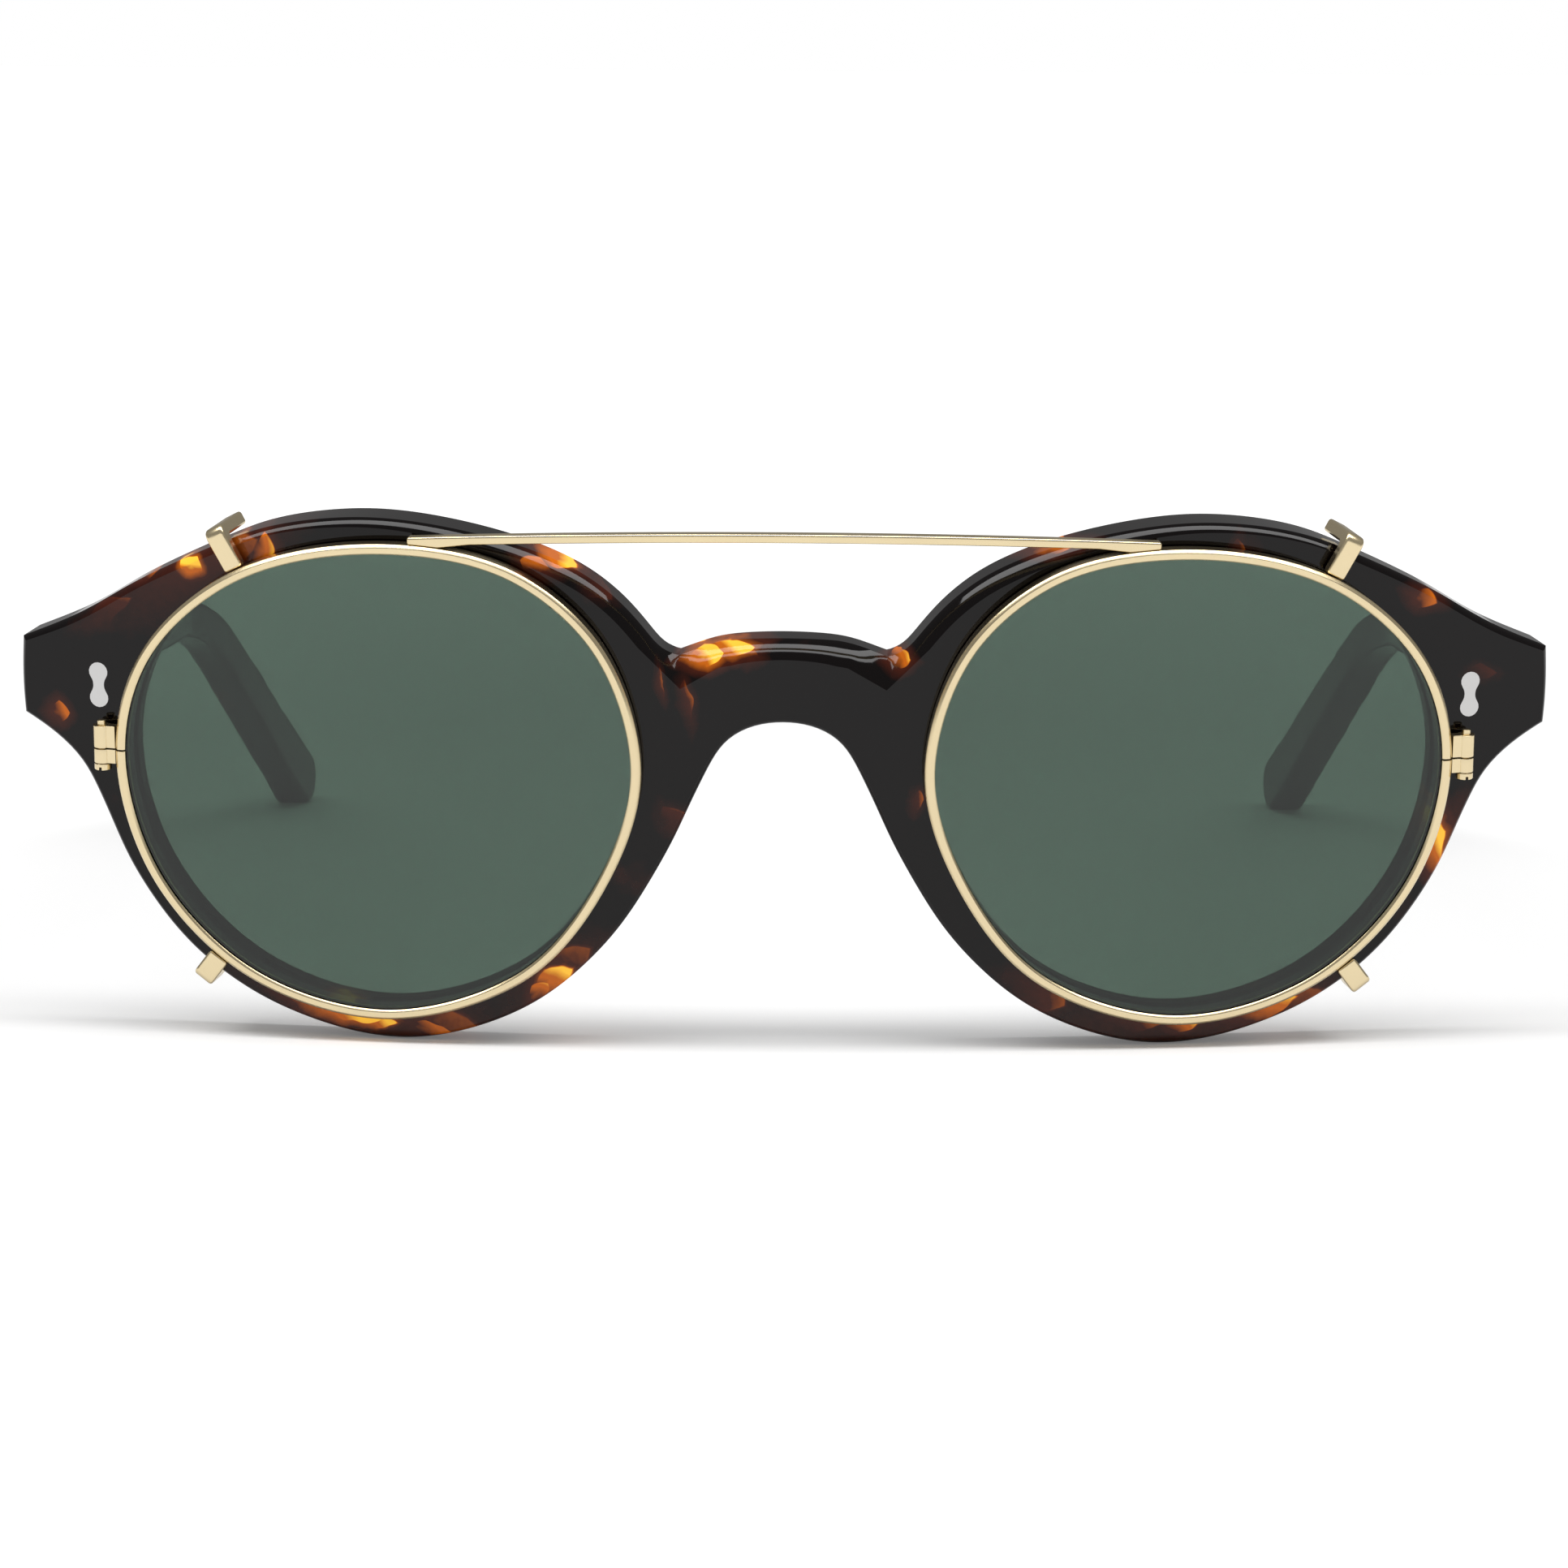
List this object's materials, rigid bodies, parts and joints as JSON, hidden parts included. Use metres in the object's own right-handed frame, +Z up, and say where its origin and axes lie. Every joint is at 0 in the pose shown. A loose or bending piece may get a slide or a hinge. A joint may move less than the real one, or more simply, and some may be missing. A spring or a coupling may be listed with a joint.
{
  "type": "spectacles with clip-on",
  "caption": "Round acetate spectacles with folding temples and a removable metal clip-on carrying tinted lenses.",
  "frame": {"origin": "on the table, under the middle of the box around the glasses with their temples open", "axes": "+X to the right-hand lens as seen from the front, +Y back along the temples, +Z up; the lenses face -Y"},
  "size_m": [0.145, 0.1506, 0.0514],
  "materials": {
    "tortoise_acetate": "polished dark tortoiseshell acetate",
    "clear_lens": "clear polished lens",
    "green_lens": "grey-green tinted lens",
    "pale_gold": "satin pale gold plating",
    "steel": "polished nickel silver"
  },
  "bodies": {
    "frame": {"clear_lens_left": "clear_lens", "clear_lens_right": "clear_lens", "frame_front": "tortoise_acetate", "front_hinge_left": "steel", "front_hinge_right": "steel", "front_rivet_left": "steel", "front_rivet_right": "steel", "hinge_screw_left": "steel", "hinge_screw_right": "steel", "nose_pad_left": "tortoise_acetate", "nose_pad_right": "tortoise_acetate"},
    "temple_left": {"temple_core_left": "steel", "temple_hinge_left": "steel", "temple_left": "tortoise_acetate", "temple_rivet_left": "steel"},
    "temple_right": {"temple_core_right": "steel", "temple_hinge_right": "steel", "temple_right": "tortoise_acetate", "temple_rivet_right": "steel"},
    "clip_on": {"clip_bar": "pale_gold", "clip_lens_left": "green_lens", "clip_lens_right": "green_lens", "clip_rim_left": "pale_gold", "clip_rim_right": "pale_gold", "lower_claw_left": "pale_gold", "lower_claw_right": "pale_gold", "rim_lock_lower_left": "pale_gold", "rim_lock_lower_right": "pale_gold", "rim_lock_screw_left": "pale_gold", "rim_lock_screw_right": "pale_gold", "rim_lock_upper_left": "pale_gold", "rim_lock_upper_right": "pale_gold", "upper_claw_left": "pale_gold", "upper_claw_right": "pale_gold"}
  },
  "joints": [
    {"name": "temple_left_fold", "type": "hinge", "parent": "frame", "child": "temple_left", "pos_m": [-0.06585, -0.05598, 0.03505], "axis": [0, 0, -1], "range_deg": [0, 84]},
    {"name": "temple_right_fold", "type": "hinge", "parent": "frame", "child": "temple_right", "pos_m": [0.06585, -0.05598, 0.03505], "axis": [0, 0, 1], "range_deg": [0, 70]},
    {"name": "clip_on_lift_off", "type": "slide", "parent": "frame", "child": "clip_on", "axis": [0, -1, 0], "range_m": [0, 0.03]}
  ]
}
